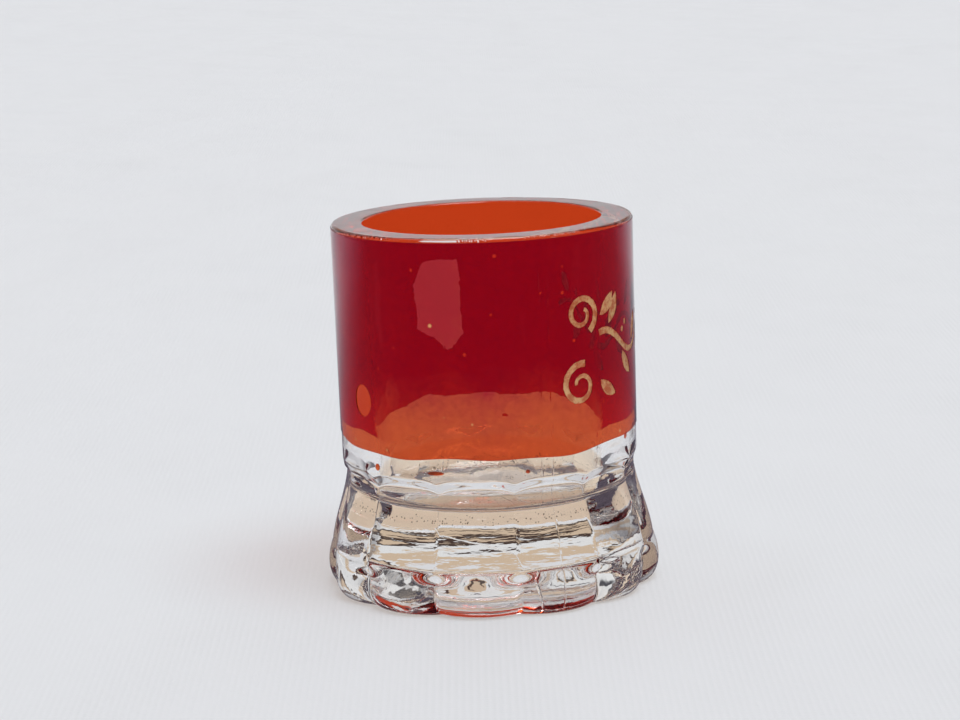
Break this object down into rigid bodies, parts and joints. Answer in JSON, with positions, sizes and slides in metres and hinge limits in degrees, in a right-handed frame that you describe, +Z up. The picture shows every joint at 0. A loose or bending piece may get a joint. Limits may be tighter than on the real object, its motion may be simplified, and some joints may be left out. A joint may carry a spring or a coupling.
{
  "type": "shot glass",
  "caption": "Thick-walled pressed glass shot tumbler with a flared lobed clear foot, a ruby-stained bowl and a sprig cut through the stain.",
  "frame": {"origin": "centre of the foot on the table, which is the bottom centre of the bounding box", "axes": "+Z up along the bowl's axis; the front, with the plain side of the stain, faces -Y; the cut sprig faces +X"},
  "size_m": [0.0524, 0.0524, 0.058],
  "materials": {
    "clear_glass": "fire-polished pressed glass, clear with a faint warm tint",
    "ruby_stain": "thin fired ruby stain, glossy and see-through, orange-red through one wall and crimson through two",
    "frosted_cut": "rough, matt strokes cut through the stain",
    "stain_specks": "thin glossy splashes of the same stain"
  },
  "bodies": {
    "root": {"glass_body": "clear_glass", "ruby_coat": "ruby_stain", "cut_sprig": "frosted_cut", "coat_specks": "stain_specks"}
  },
  "joints": []
}
